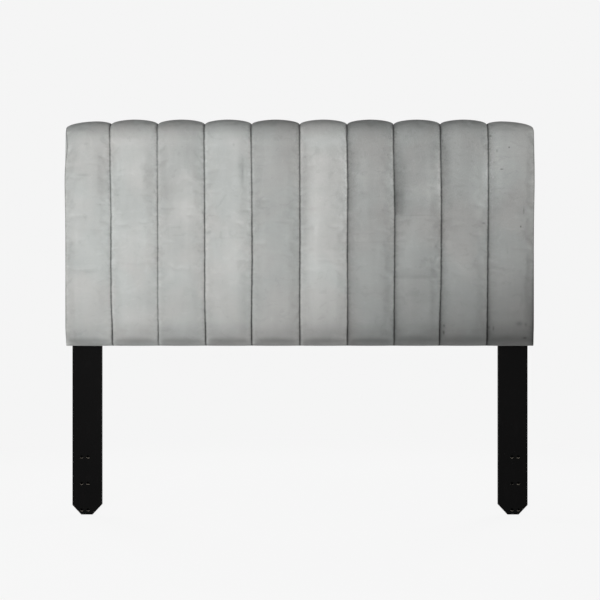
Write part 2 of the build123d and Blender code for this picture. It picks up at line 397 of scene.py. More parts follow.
# %% Velvet
def velvet(name):
    """Brushed grey velvet, steered by two attributes: the nap with painted shade and highlights, and tuck."""
    cloth = Finish(name, roughness=0.92, specular_ior_level=0.12, sheen_weight=0.16, sheen_roughness=0.35)
    x, _, z = cloth.apart(cloth.place)
    # the first attribute holds the strip's shade with painted shade and painted highlights in it
    nap_and_painted_shade, tuck = cloth.attribute("nap_and_painted_shade"), cloth.attribute("tuck")
    patches = cloth.noise(6.0, (1.0, 1.0, 0.8), detail=3.0, roughness=0.6, distortion=0.7)
    smudges = cloth.noise(21.0, (0.8, 1.0, 1.0), detail=4.0, roughness=0.62, distortion=1.3, shift=3.1)
    wiped = cloth.noise(13.0, (0.45, 1.0, 1.3), detail=4.0, roughness=0.65, distortion=0.6, shift=1.9)
    dragged = cloth.noise(30.0, (1.0, 1.0, 0.16), detail=2.0, distortion=0.4, shift=7.7)
    ticks = cloth.noise(70.0, (0.4, 1.0, 1.0), detail=2.0, roughness=0.6, distortion=0.8, shift=4.3)
    pile = cloth.noise(620.0, (1.0, 1.0, 0.6), detail=2.0, roughness=0.7)
    flecks = cloth.noise(300.0, (1.0, 1.0, 0.6), detail=1.0, shift=2.3)
    hue = cloth.noise(5.0, detail=2.0, distortion=0.5, shift=5.5)
    pressed, raised = cloth.between(smudges, 0.57, 0.67), cloth.between(smudges, 0.42, 0.33)
    mottle = ((patches - 0.5) * 0.34 + (wiped - 0.5) * 0.20 + (dragged - 0.5) * 0.14 + (pile - 0.5) * 0.20
              + (ticks - 0.5) * tuck * 0.75 - pressed * 0.075 + raised * 0.045)
    mottle = mottle * cloth.between(z, 0.70, 0.98, 0.80, 1.0)  # the lower part is calmer
    crushed = cloth.between(z, 0.92, 1.12) * cloth.between(x, -0.25, 0.30, 0.30, 1.0) * (0.25 + tuck)
    bright_flecks, dark_flecks = cloth.between(flecks, 0.60, 0.70), cloth.between(flecks, 0.40, 0.30)
    mottle += (bright_flecks * 0.22 - dark_flecks * 0.24) * crushed
    pinched = 0.0
    for middle, height, wide, tall, loss in marks:
        off = ((x - middle) / wide) ** 2 + ((z - height) / tall) ** 2
        pinched = cloth.math("EXPONENT", -off) * loss + pinched
    cool, warm = (0.966, 1.0, 0.976, 1.0), (0.992, 0.995, 0.968, 1.0)
    tint = cloth.mix(cloth.between(hue, 0.35, 0.65), cool, warm)
    colour = cloth.mix(nap_and_painted_shade * (1 + mottle) * (1 - pinched), (0.0, 0.0, 0.0, 1.0), tint)
    relief = cloth.bump(pile * 0.5 + wiped * 0.4 + smudges * 0.6 + ticks * tuck * 1.6, 0.0014, 0.5)
    return cloth.put(base_color=colour, normal=relief)


grey_velvet = velvet("brushed_grey_velvet")
print(len(grey_velvet.node_tree.nodes), "nodes in the velvet")

# %% [markdown]
# ## Sewn lines
# A channel is fixed by three lines that run from the back of the frame, under its lower edge, up
# the front, over the top edge and down the back again: the seams on its left and right, and the
# crown between them. All lines have the same rows, so a row can be joined straight across.
# `wrap_rows` gives the depth and height of each row for a line at a given height above the board.

# %% Rows of a line round the panel
turnover_steps, bend_steps, under_steps, roll_steps = 7, 3, 6, 16  # from the back to the foot of the front
front_steps, top_steps, rear_steps, tail_steps = 104, 18, 8, 8  # up the front and down the back
roll_depth, roll_rise, roll_power = 0.040, 0.052, 2 / 1.75  # the rounded lower front edge
roll_blend = 0.004  # softens the place where that edge meets the front
turnover_reach, bend_start, bend = 0.046, 0.006, 0.004  # the velvet at the back, and its bend there
tail_reach = 0.045
rear_roll_low, rear_roll_least = 0.010, 0.004  # how far the roll at the back comes down
top_turn = (board_front + 0.005, panel_top - crown_height - 0.005)  # centre of the turn over the top
shoulder = velvet_back - 0.010  # depth from which the top edge rolls down at the back


def wrap_rows(height, dip=0.0):
    """Depth and height of every row, for a line that lies at a height above the board."""
    back, low, high = velvet_back - dip, panel_bottom + dip, panel_top - crown_height + height
    front, roll_start = board_front - height, pad_front + roll_depth
    rows = [(back, z) for z in np.linspace(low + turnover_reach, low + bend_start, turnover_steps)]
    rows += [(back - bend + bend * cos(a), low + bend - bend * sin(a)) for a in (0.4, 0.8, 1.2)]
    rows += [(y, low) for y in np.linspace(back - bend_start, roll_start + bend, under_steps)]
    for a in np.linspace(pi / 2, 0, roll_steps):
        y = roll_start - roll_depth * cos(a) ** roll_power
        z = low + roll_rise * (1 - sin(a) ** roll_power)
        soft = 0.5 * (y + front + hypot(y - front, roll_blend)) + dip
        rows.append((soft, z))
    rows += [(front, z) for z in np.linspace(low + roll_rise, top_turn[1], front_steps)[1:-1]]
    reach = top_turn[0] - front
    quarter = np.linspace(0, pi / 2, top_steps)
    rows += [(top_turn[0] - reach * cos(a), top_turn[1] + reach * sin(a)) for a in quarter]
    rows += [(y, high) for y in np.linspace(top_turn[0], shoulder, 4)[1:]]
    foot, depth = min(panel_top - rear_roll_low, high - rear_roll_least), back - shoulder
    quarter = np.linspace(0, pi / 2, rear_steps + 1)[1:]
    rows += [(shoulder + depth * sin(a), foot + (high - foot) * cos(a)) for a in quarter]
    rows += [(back, z) for z in np.linspace(foot, frame_top - tail_reach, tail_steps + 1)[1:]]
    return np.array(rows)


row_count = len(wrap_rows(crown_height))
first_roll = turnover_steps + bend_steps + under_steps
first_front = first_roll + roll_steps
first_top = first_front + front_steps - 2
print(row_count, "rows, of which the front starts at", first_front)

# %% [markdown]
# Sewing is never quite straight. The seams of this panel wander by a few millimetres: those on the
# left lie a little further left than an even spacing would put them, and some lean over towards the
# lower edge. The sides of the panel bulge slightly, where the padding is squeezed out, and draw in
# at the rounded upper corners. Behind, the ends of the outer channels are tucked in under the
# velvet of the sides.

# %% Where each seam runs
seam_shift = {1: -7.5, 2: -8.0, 3: -7.0, 4: -6.0, 5: -0.7, 6: 2.0, 7: 2.5, 8: 2.5, 9: 2.5}  # mm, sideways
seam_lean = {  # height in m, and how far the seam is off its line there in mm
    1: [(0.575, 5.0), (0.64, 6.5), (0.70, 2.0), (0.84, 1.0), (1.04, 1.2), (1.15, -1.5), (1.30, -3.0)],
    2: [(0.575, 3.5), (0.64, 3.5), (0.70, 1.5), (0.86, 1.5), (1.10, 0.5), (1.28, -0.5)],
    3: [(0.575, 4.0), (0.64, 4.0), (0.72, 1.0), (0.86, 1.5), (1.10, 0.5), (1.28, -1.0)],
    4: [(0.575, 0.5), (0.70, 0.5), (0.86, 2.5), (1.10, 1.0), (1.28, -1.5)],
    5: [(0.575, 1.0), (0.70, -0.5), (0.95, 0.8), (1.28, -0.5)],
    6: [(0.575, -1.0), (0.68, 1.0), (0.90, -0.5), (1.12, 1.2), (1.29, -2.0)],
    7: [(0.575, 0.5), (0.66, -1.0), (0.86, 1.0), (1.02, 1.5), (1.24, -3.0)],
    8: [(0.575, -6.5), (0.66, -4.5), (0.80, 0.0), (1.06, 1.0), (1.27, -2.5)],
    9: [(0.575, -4.0), (0.68, -2.0), (0.86, 0.0), (1.06, 1.5), (1.24, 1.5), (1.30, 0.0)],
}
corner_round = 0.003
stitch_wave = 0.45  # mm, the small waves of a sewn line
thread_pull = 0.003  # how far the thread draws a seam into the foam
lifted_at, lifted_over = 1.245, 0.050  # height of the place where the left border reaches the front
lift_forward, lift_inward, lift_fades = 0.0105, 0.009, 0.012
border_dip, groove_dip = 0.0008, 0.0011  # how far the sewn lines lie under the velvet beside them
tucked_in, tucked_depth, tucked_height = 0.004, 0.008, 0.006  # behind, under the strip at the side
side_bulge = {-1: 0.0046, 1: 0.0022}  # left and right
bulge_foot_share, bulge_rise = 0.45, 0.06
belly, belly_at, belly_over = 0.0026, 1.14, 0.12  # the height where both sides stand out most


def bulge(z, side):
    """How far one side of the panel stands out at a height."""
    up = min(1.0, max(0.0, (z - panel_bottom) / bulge_rise))
    share = bulge_foot_share + (1 - bulge_foot_share) * up
    return side_bulge[side] * share + belly * exp(-(((z - belly_at) / belly_over) ** 2))


def corner_inset(z):
    """How far the sides draw in towards the rounded upper corners."""
    share = min(1.0, max(0.0, (z - border_top + corner_round) / corner_round))
    return corner_round * (1 - (1 - share * share) ** 0.5)


# %% Lines of the seams and the crowns
def border_seam(side):
    """Points of the line where a side border is sewn on: -1 is left and 1 is right."""
    rows = wrap_rows(border_height, border_dip)
    behind = np.clip((rows[:, 0] - shoulder) / tucked_depth, 0, 1)
    behind *= np.clip((border_top - tucked_height - rows[:, 1]) / tucked_height, 0, 1)
    x = np.array([side * (panel_side + bulge(z, side) * (1 - b) - tucked_in * b - corner_inset(z))
                  for (_, z), b in zip(rows, behind)])
    if side < 0:
        lift = np.exp(-(((rows[:, 1] - lifted_at) / lifted_over) ** 2))
        lift *= np.clip(-rows[:, 0] / lift_fades, 0, 1)
        rows[:, 0] -= lift_forward * lift
        x += lift_inward * lift
    return np.column_stack([x, rows])


def seam_line(index):
    """Points of one sewn line. The first and the last are the seams of the side borders."""
    if index in (0, channel_count):
        return border_seam(-1 if index == 0 else 1)
    rows = wrap_rows(groove_height, groove_dip)
    heights, offsets = zip(*seam_lean[index])
    off = np.interp(rows[:, 1], heights, offsets)
    off = np.convolve(np.pad(off, 4, mode="edge"), np.ones(9) / 9, mode="valid")
    off += stitch_wave * np.sin(rows[:, 1] * (95 + 7 * index) + index * 2.1) * np.sin(rows[:, 1] * 41 + index)
    front = np.clip((0.0 - rows[:, 0]) / 0.02, 0, 1)
    x = -panel_side + index * channel_pitch + 0.001 * (seam_shift[index] + off * front)
    rows[:, 0] += thread_pull * front
    return np.column_stack([x, rows])


def crown_line(index):
    """Points along the crown of one channel."""
    rows = wrap_rows(end_crown_height if index in (0, channel_count - 1) else crown_height)
    return np.column_stack([np.zeros(len(rows)), rows])


def line_object(name, points):
    """A row of joined points that Geometry Nodes can read."""
    edges = [(n, n + 1) for n in range(len(points) - 1)]
    return add_mesh(name, [tuple(p) for p in points], edges, hidden=True)


seams = [line_object(f"seam_{n:02d}", seam_line(n)) for n in range(channel_count + 1)]
crowns = [line_object(f"crown_{n + 1:02d}", crown_line(n)) for n in range(channel_count)]
print(len(seams), "seams and", len(crowns), "crowns")

# %% [markdown]
# ## The sewn channel as a rule
# Each channel follows one rule, so Geometry Nodes make its sheet: a flat grid has a column for each
# place between the seams and a row for each point of the lines. A row starts at the left seam, rises
# to the crown and falls to the right seam, steeply at first and then flatter, as stretched cloth over
# foam does. The rise is `(1 - (1 - t) ** a) ** b`, where t goes from 0 at the seam to 1 at the crown.
# The two end channels have their crown nearer the inner seam and fall further at the outside.

# %% Geometry Nodes for a channel's sheet
rule = Recipe("channel_sheet", {
    "Left Seam": "Object", "Right Seam": "Object", "Crown": "Object", "Columns": "Int", "Rows": "Int",
    "Crown Place": "Float", "Steepness": "Float", "Fullness": "Float", "Velvet": "Material"})
given = rule.given
grid = rule.node("GeometryNodeMeshGrid", None, {"Size X": 1.0, "Size Y": 1.0, "Vertices X": given["Columns"],
                                               "Vertices Y": given["Rows"]})
flat_x, flat_y, _ = rule.apart(rule.node("GeometryNodeInputPosition"))
row = rule.math("ROUND", (flat_y + 0.5) * (given["Rows"] - 1))
even_place = flat_x + 0.5
place = 0.5 - rule.math("COSINE", even_place * pi) * 0.5  # columns gather at the seams


def on_line(label):
    """Point of a line at the current row."""
    where = rule.node("GeometryNodeInputPosition")
    sockets = {"Geometry": rule.shape_of(label), "Value": where, "Index": row}
    settings = {"data_type": "FLOAT_VECTOR", "domain": "POINT"}
    return rule.apart(rule.node("GeometryNodeSampleIndex", settings, sockets))


def rise(reach):
    """Share of the way up from a seam to the crown."""
    t = rule.math("MINIMUM", rule.math("MAXIMUM", reach, 0.0), 1.0)
    return (1 - (1 - t) ** given["Steepness"]) ** given["Fullness"]


left, right, crown = on_line("Left Seam"), on_line("Right Seam"), on_line("Crown")
from_left = rise(place / given["Crown Place"])
from_right = rise((1 - place) / (1 - given["Crown Place"]))
is_left = rule.math("LESS_THAN", place, given["Crown Place"])


def across_row(part):
    """Depth (1) or height (2) of a point between the seams."""
    on_left = left[part] + (crown[part] - left[part]) * from_left
    on_right = right[part] + (crown[part] - right[part]) * from_right
    return on_left * is_left + on_right * (1 - is_left)


sideways = left[0] + (right[0] - left[0]) * place
target = rule.node("ShaderNodeCombineXYZ", None, {0: sideways, 1: across_row(1), 2: across_row(2)})
rule.end(rule.node("GeometryNodeSetPosition", None, {"Geometry": grid, "Position": target}), "Velvet")

# %% Make the ten sheets
columns = 37
sheets = []
for n in range(channel_count):
    crown_place = {0: 0.69, channel_count - 1: 0.31}.get(n, 0.5)
    sheets.append(rule.make(f"channel_pad_{n + 1:02d}", {
        "Left Seam": seams[n], "Right Seam": seams[n + 1], "Crown": crowns[n], "Columns": columns,
        "Rows": row_count, "Crown Place": crown_place, "Steepness": 1.8, "Fullness": 0.46,
        "Velvet": grey_velvet}))
print(len(sheets[0].data.vertices), "points in each sheet")

# %% [markdown]
# ## Pulling the velvet over its foam
# Foam pushes the velvet out evenly while the seams and staples hold its edges, and the strip is cut a
# little longer than the gap it covers. Blender's cloth solver does the same: pressure from inside,
# the seam columns and the parts behind the panel pinned, and cloth that is about one part in a
# hundred too large. It finds the shallow puckers beside the seams by itself. The movement is capped,
# so a pad stays on the shape of the CAD model.

# %% Cloth simulation of the ten sheets
cloth_frames, cloth_cap, extra_cloth = 20, 0.005, 0.012
pinned_tail = 24  # rows from the back of the top edge to the end of the velvet


def hold_and_press(sheet):
    """Pins a sheet where it is sewn or stapled, and adds the cloth solver."""
    sewn = sheet.vertex_groups.new(name="sewn")
    across_index, row_index = np.divmod(np.arange(columns * row_count), row_count)
    held = (across_index == 0) | (across_index == columns - 1)
    held |= (row_index < first_roll) | (row_index >= row_count - pinned_tail)
    sewn.add(np.flatnonzero(held).tolist(), 1.0, "REPLACE")
    middle_face = sheet.data.polygons[(columns // 2) * (row_count - 1) + (first_front + first_top) // 2]
    if middle_face.normal.y > 0:
        sheet.data.flip_normals()
    solver = sheet.modifiers.new("pressed_cloth", "CLOTH")
    velvet_sheet = solver.settings
    velvet_sheet.quality, velvet_sheet.mass = 5, 0.3
    velvet_sheet.tension_stiffness = velvet_sheet.compression_stiffness = 25.0
    velvet_sheet.shear_stiffness, velvet_sheet.bending_stiffness = 10.0, 0.6
    velvet_sheet.use_pressure, velvet_sheet.uniform_pressure_force = True, 4.0
    velvet_sheet.shrink_min = -extra_cloth
    velvet_sheet.vertex_group_mass = "sewn"
    velvet_sheet.effector_weights.gravity = 0.0
    solver.collision_settings.use_collision = False
    solver.point_cache.frame_start, solver.point_cache.frame_end = 1, cloth_frames


def points_of(mesh):
    """Places of all points of a mesh, as one array."""
    places = np.zeros(len(mesh.vertices) * 3)
    mesh.vertices.foreach_get("co", places)
    return places


def keep_pressed(sheet, before):
    """Takes over the simulated shape, with each point's movement capped."""
    ready = sheet.evaluated_get(bpy.context.evaluated_depsgraph_get())
    move = (points_of(ready.data) - before).reshape(-1, 3)
    reach = np.linalg.norm(move, axis=1)
    move *= np.minimum(1.0, cloth_cap / np.maximum(reach, 1e-9))[:, None]
    sheet.modifiers.clear()
    sheet.data.vertices.foreach_set("co", before + move.ravel())
    sheet.data.update()
    return reach.max(), float((reach > cloth_cap).mean())


flat_points = [points_of(sheet.data) for sheet in sheets]
for sheet in sheets:
    hold_and_press(sheet)
for step_frame in range(1, cloth_frames + 1):
    bpy.context.scene.frame_set(step_frame)
for sheet, before in zip(sheets, flat_points):
    print(sheet.name, "moved", [round(float(v), 4) for v in keep_pressed(sheet, before)])
bpy.context.scene.frame_set(1)

# %% [markdown]
# ## From sheet to padded channel
# A channel is a closed pad: velvet outside, and inside it lies against the board, over the top of
# the frame and on its back. The sheet becomes such a pad when a second skin is laid against the frame
# and the gap between the two is closed along both seams and at both turnovers.

# %% Inner skin
skin_gap = 0.0003
skin_back = board_back + 0.0203  # just behind the frame
skin_foot, skin_turn = panel_bottom + 0.0012, panel_bottom + 0.0018
wall_gap, border_gap, border_room = 0.0006, 0.003, 0.002  # to the next pad, to the strip and under it


def inner_rows():
    """Depth and height of every row on the frame, under the padding."""
    outer = wrap_rows(crown_height)
    rows = outer.copy()
    corner = (board_front - skin_gap, frame_top + skin_gap)
    for n, (y, z) in enumerate(outer):
        share = (n - first_top) / (top_steps - 1)
        if n < turnover_steps:
            rows[n] = (skin_back, max(z, skin_turn))
        elif n < turnover_steps + bend_steps:
            rows[n] = (skin_back, skin_foot)
        elif n < first_roll:
            rows[n] = (max(y, corner[0]), skin_foot)
        elif n < first_top:
            rows[n] = (corner[0], max(z, skin_foot))
        elif share <= 0.5:
            rows[n] = (corner[0], top_turn[1] + (corner[1] - top_turn[1]) * share * 2)
        elif share <= 1.0:
            rows[n] = (corner[0] + (top_turn[0] - corner[0]) * (share * 2 - 1), corner[1])
        else:
            rows[n] = (min(y, skin_back), corner[1]) if z > frame_top else (skin_back, z)
    return rows


frame_rows = inner_rows()
print("inner skin from", frame_rows.min(0).round(4), "to", frame_rows.max(0).round(4))


# %% Close a sheet into a pad
def close_pad(sheet, number):
    """Adds the inner skin and the walls to a sheet, and turns every face outwards."""
    mesh = sheet.data
    points = points_of(mesh).reshape(columns, row_count, 3)
    left_gap = border_gap if number == 1 else wall_gap
    right_gap = border_gap if number == channel_count else wall_gap
    left_wall = np.column_stack([points[0, :, 0] + left_gap, frame_rows])
    right_wall = np.column_stack([points[-1, :, 0] - right_gap, frame_rows])
    for end, line in ((1, left_wall), (channel_count, right_wall)):
        if number == end:  # the frame is rounded there, and the border is lower than its top
            line[:, 2] = np.minimum(line[:, 2], border_top - border_room)
    work = bmesh.new()
    outer = [[work.verts.new(points[i, j]) for j in range(row_count)] for i in range(columns)]
    inner = [[work.verts.new(p) for p in wall] for wall in (left_wall, right_wall)]
    for i in range(columns - 1):
        for j in range(row_count - 1):
            work.faces.new((outer[i][j], outer[i + 1][j], outer[i + 1][j + 1], outer[i][j + 1]))
    for j in range(row_count - 1):
        work.faces.new((inner[0][j + 1], inner[1][j + 1], inner[1][j], inner[0][j]))
        work.faces.new((outer[0][j + 1], inner[0][j + 1], inner[0][j], outer[0][j]))
        work.faces.new((outer[-1][j], inner[1][j], inner[1][j + 1], outer[-1][j + 1]))
    for j, turn in ((0, False), (row_count - 1, True)):
        loop = [outer[i][j] for i in range(columns)] + [inner[1][j], inner[0][j]]
        work.faces.new(loop if turn else loop[::-1])
    bmesh.ops.recalc_face_normals(work, faces=work.faces)
    crease = work.edges.layers.float.new("crease_edge")
    sharp = [outer[0], inner[0], outer[-1], inner[1]]
    sharp += [[outer[i][j] for i in range(columns)] for j in (0, row_count - 1)]
    for line in sharp:
        for a, b in zip(line, line[1:]):
            work.edges.get((a, b))[crease] = 1.0
    work.to_mesh(mesh)
    work.free()
    mesh.shade_smooth()


for number, sheet in enumerate(sheets, 1):
    close_pad(sheet, number)
print("pads closed:", sum(len(s.data.polygons) for s in sheets), "faces")

# %% [markdown]
# ## The nap and the painted shade of each channel
# Every strip is cut and laid separately, so its pile leans its own way and it has its own shade.
# The strips on the left are light, the fifth is darker than its neighbours, and those on the right
# are clearly darker. Some strips get painted light towards the top, and painted shade darkens them
# towards the lower edge and where the velvet turns over the top, at the foot of each channel in a
# low arch. The grooves get painted shade, and beside them a thin painted highlight. On top come listed
# strokes: a few broad ones along the channels, painted sheen and painted shade at the edges of
# channels six to nine, and the marks of a fold across the eighth and the seventh.

# %% Shade of each strip and its strokes
strip_shade = [0.45, 0.47, 0.44, 0.45, 0.38, 0.45, 0.32, 0.32, 0.32, 0.32]  # share of light that comes back
# painted light towards the top and painted shade towards the lower edge of each strip, as shares of its light
upper_painted_light = [0.0, -0.02, -0.03, 0.0, -0.05, 0.02, 0.0, 0.0, 0.06, 0.15]
lower_painted_shade = [0.08, 0.08, 0.11, 0.17, 0.09, 0.20, 0.15, 0.26, 0.33, 0.41]
# painted shade towards the foot of each strip, where the velvet turns under
foot_painted_shade = [0.15, 0.22, 0.22, 0.26, 0.22, 0.29, 0.30, 0.29, 0.26, 0.34]
# painted shade where the velvet turns over the top edge of each strip
rim_painted_shade = [0.30, 0.30, 0.30, 0.30, 0.30, 0.28, 0.27, 0.22, 0.20, 0.12]
# painted shade in the grooves: its half width, and the light it takes away at each seam, above and below
groove_width = 0.0025
groove_painted_shade = [  # light taken away in the groove of each seam, above and below
    (0.62, 0.62), (0.60, 0.80), (0.52, 0.50), (0.74, 0.82), (0.70, 0.90), (0.76, 0.84),
    (0.72, 0.74), (0.68, 0.78), (0.74, 0.80), (0.70, 0.80), (0.62, 0.62),
]
# strokes at the edges of channels 6 to 9, light at the right edge and dark at the left, are painted sheen and
# painted shade of the flanks; the others change the pile
strokes_and_painted_sheen = [  # channel, place across it from 0 to 1, height in m, half width in m, half height in m, change
    (1, 0.75, 1.20, 0.022, 0.10, -0.06), (1, 0.25, 1.10, 0.030, 0.05, 0.05),
    (1, 0.30, 1.17, 0.035, 0.012, -0.06), (1, 0.12, 0.600, 0.020, 0.014, -0.10),
    (1, 0.20, 0.86, 0.040, 0.05, -0.03), (2, 0.45, 1.26, 0.030, 0.030, 0.06),
    (2, 0.85, 1.14, 0.014, 0.12, -0.05), (2, 0.15, 0.98, 0.015, 0.16, 0.06),
    (2, 0.05, 0.90, 0.012, 0.16, 0.05), (3, 0.18, 1.09, 0.012, 0.035, -0.09),
    (3, 0.20, 1.10, 0.018, 0.14, -0.04), (3, 0.70, 1.22, 0.030, 0.05, -0.05),
    (4, 0.80, 1.18, 0.012, 0.07, -0.08), (4, 0.25, 1.00, 0.020, 0.20, -0.03),
    (4, 0.96, 1.14, 0.012, 0.10, 0.10), (5, 0.50, 0.98, 0.060, 0.10, -0.06),
    (5, 0.30, 1.22, 0.030, 0.06, 0.06), (5, 0.95, 1.14, 0.030, 0.12, 0.09),
    (5, 0.50, 1.24, 0.100, 0.04, -0.06), (6, 0.30, 0.92, 0.020, 0.18, 0.06),
    (6, 0.70, 1.15, 0.030, 0.08, -0.05), (6, 0.05, 1.12, 0.022, 0.16, -0.20),
    (6, 0.04, 0.90, 0.018, 0.16, -0.13), (6, 0.95, 1.12, 0.030, 0.15, 0.15),
    (6, 0.96, 0.88, 0.025, 0.14, 0.06), (7, 0.30, 1.15, 0.030, 0.10, 0.05),
    (7, 0.95, 1.13, 0.030, 0.13, 0.20), (7, 0.05, 1.13, 0.015, 0.12, -0.09),
    (8, 0.60, 0.85, 0.040, 0.10, -0.06), (8, 0.95, 1.13, 0.035, 0.12, 0.38),
    (8, 0.10, 1.13, 0.030, 0.12, -0.21), (9, 0.10, 1.22, 0.014, 0.09, -0.12),
    (9, 0.85, 1.00, 0.014, 0.25, 0.10), (9, 0.85, 1.22, 0.016, 0.10, 0.06),
    (9, 0.96, 1.13, 0.035, 0.14, 0.32), (9, 0.08, 1.12, 0.028, 0.12, -0.12),
    (10, 0.60, 1.12, 0.030, 0.05, -0.08), (10, 0.20, 1.02, 0.030, 0.10, -0.05),
    (10, 0.50, 0.80, 0.150, 0.06, -0.08), (10, 0.50, 0.98, 0.150, 0.05, 0.05),
]
pressed_areas = [  # channel, places across and heights in m between which the pile is pressed, change
    (1, 0.70, 1.02, 1.08, 1.22, -0.05), (2, 0.68, 1.02, 1.05, 1.20, -0.05),
    (4, 0.85, 1.02, 1.10, 1.25, -0.06), (7, 0.04, 0.32, 1.15, 1.24, -0.06),
    (8, -0.05, 0.24, 1.013, 1.12, -0.17), (8, 0.18, 1.05, 1.013, 1.09, -0.05),
    (8, -0.05, 1.05, 0.799, 0.835, -0.20), (9, 0.35, 0.62, 1.06, 1.17, -0.04),
    (10, 0.25, 0.60, 1.04, 1.11, -0.05),
]
print(len(strokes_and_painted_sheen), "strokes,", len(pressed_areas), "pressed areas and", len(marks), "marks")


# %% Nap of one piece
def ease(value):
    """Smooth step from 0 to 1."""
    value = np.clip(value, 0, 1)
    return value * value * (3 - 2 * value)


def hump(value, middle, width):
    """1 at the middle, fading softly to 0 on both sides."""
    return np.exp(-(((value - middle) / width) ** 2))


def seam_place(index, z):
    """Sideways place of a seam on the front of the panel, at given heights."""
    front = seam_line(index)[first_front:first_front + front_steps]
    return np.interp(z, front[:, 2], front[:, 0])


def painted_shade_in_groove(index, z, distance):
    """Painted shade in the groove of a seam: how much darker the velvet is there."""
    above, below = groove_painted_shade[index]
    return (below + (above - below) * ease((z - 0.95) / 0.12)) * hump(distance, 0.0, groove_width)


def painted_sheen_beside_grooves(number, z, from_left, from_right):
    """Painted sheen and painted shade along the two seams of a channel: a light line on one flank, a darker
    one on the other.
    """
    change = np.zeros(len(z))
    if number <= 6:
        change += 0.06 * hump(from_left, 0.006, 0.007) + 0.05 * hump(from_right, 0.012, 0.010)
    else:
        flank = 0.2 + 0.8 * ease((z - 0.600) / 0.12)
        change += 0.16 * flank * hump(from_right, 0.008, 0.012) - 0.24 * np.exp(-from_left / 0.014)
        change -= 0.10 * hump(from_left, 0.0, 0.008)
    if 2 <= number <= 6:
        change += 0.05 * hump(from_left, 0.0065, 0.0024)
    if 6 <= number <= 9:
        change += 0.16 * hump(from_right, 0.0060, 0.0024) * (0.2 + 0.8 * ease((z - 0.95) / 0.12))
    # a painted highlight on the left edge of the first strip; on the last, painted light above and painted
    # shade below at its right edge
    if number == 1:  # the outer edges: light on the left, light above and dark below on the right
        change += 0.09 * hump(from_left, 0.0, 0.022)
    if number == channel_count:
        change += 0.25 * ease((z - 0.94) / 0.08) * hump(from_right, 0.0, 0.024)
        edge = 0.22 * hump(from_right, 0.0, 0.018) + 0.28 * hump(from_right, 0.0, 0.006)
        change -= ease((0.96 - z) / 0.20) * edge
    return change


def stroked_pile_and_painted_sheen(number, across, z):
    """Change of the nap where it was stroked or pressed, with painted sheen and shade at the edges of
    channels 6 to 9.
    """
    change = np.zeros(len(z))
    for channel, place, height, wide, tall, gain in strokes_and_painted_sheen:
        if channel == number:
            change += gain * hump(across * channel_pitch, place * channel_pitch, wide) * hump(z, height, tall)
    for channel, start, end, low, high, gain in pressed_areas:
        if channel == number:
            sideways = ease((across - start) / 0.05) * ease((end - across) / 0.10)
            change += gain * sideways * ease((z - low) / 0.008) * ease((high - z) / 0.05)
    return change


def painted_shade_at_foot(number, above, across, from_left):
    """Share of light left at a height above the lower edge: painted shade where the velvet turns under, in a
    low arch, and painted light along the lowest edge.
    """
    arch = np.clip(4 * across * (1 - across), 0, 1) ** 0.3
    turn_top, turn_fade, turn_painted_shade = (0.048, 0.024, 0.18) if number >= 8 else (0.037, 0.020, 0.24)
    turned = ease((turn_top * (0.55 + 0.45 * arch) - above) / turn_fade)
    share = 1 - foot_painted_shade[number - 1] * ease((0.100 - above) / 0.070) + 0.22 * ease((0.022 - above) / 0.018)
    return share - turn_painted_shade * turned * (0.3 + 0.7 * ease(from_left / 0.020))


def lay_nap_and_painted_shade(piece, number, border=False):
    """Keeps on the mesh the share of light that comes back from every point, painted shade and highlights
    included, and how near a seam is.
    """
    mesh = piece.data
    x, _, z = points_of(mesh).reshape(-1, 3).T
    seam_left, seam_right = seam_place(number - 1, z), seam_place(number, z)
    from_left, from_right = np.abs(x - seam_left), np.abs(seam_right - x)
    across = (x - seam_left) / (seam_right - seam_left)
    if border:  # the strip at the side has no groove
        from_left = from_right = np.full(len(x), 0.05)
    # the share holds painted sheen and shade beside the grooves, painted light towards the top, and painted
    # shade towards the lower edge, at the top rim, at the foot and in the grooves
    share = 1 + painted_sheen_beside_grooves(number, z, from_left, from_right) + stroked_pile_and_painted_sheen(number, across, z)
    share += upper_painted_light[number - 1] * ease((z - 0.95) / 0.25)
    share -= lower_painted_shade[number - 1] * ease((0.88 - z) / 0.24) + 0.045 * hump(z, 1.225, 0.030)
    share *= 1 - rim_painted_shade[number - 1] * ease((z - panel_top + 0.09) / 0.07)
    share *= painted_shade_at_foot(number, z - panel_bottom, across, from_left)
    share *= (1 - painted_shade_in_groove(number - 1, z, from_left)) * (1 - painted_shade_in_groove(number, z, from_right))
    tuck = np.exp(-np.minimum(from_left, from_right) / 0.012)
    for label, values in (("nap_and_painted_shade", strip_shade[number - 1] * share), ("tuck", tuck)):
        kept = mesh.attributes.new(label, "FLOAT", "POINT")
        kept.data.foreach_set("value", values.astype(np.float32))


for number, pad in enumerate(sheets, 1):
    lay_nap_and_painted_shade(pad, number)
    finer = pad.modifiers.new("finer", "SUBSURF")
    finer.levels = finer.render_levels = 1
    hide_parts(f"channel_cover_{number:02d}", f"channel_foam_{number:02d}")
    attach(pad, "root")
print("ten pads are in place")

# %% [markdown]
# ## Side borders
# A strip of the same velvet closes each side. It is sewn to the outer edge of the end channel, drawn
# tight round the side of the frame and stapled on its back. Its sheet has a row for each height and
# a column for each place from the seam to the end of the turnover, and follows the slight bulge of
# the padding. Its upper end follows the pad, which rolls down at the back. A Solidify modifier gives
# it the thickness of velvet.

# %% Border
side_rows, corner_rows, side_columns = 96, 9, 15
velvet_thick, border_lift, border_inset = 0.0014, 0.0003, 0.0015
seam_tuck, tuck_share, side_share = 0.0016, 0.05, 0.10  # beside its seam the strip dips and follows it
foot_gap, top_rows_rise = 0.0006, 0.02
border_foot = border_top - 0.004


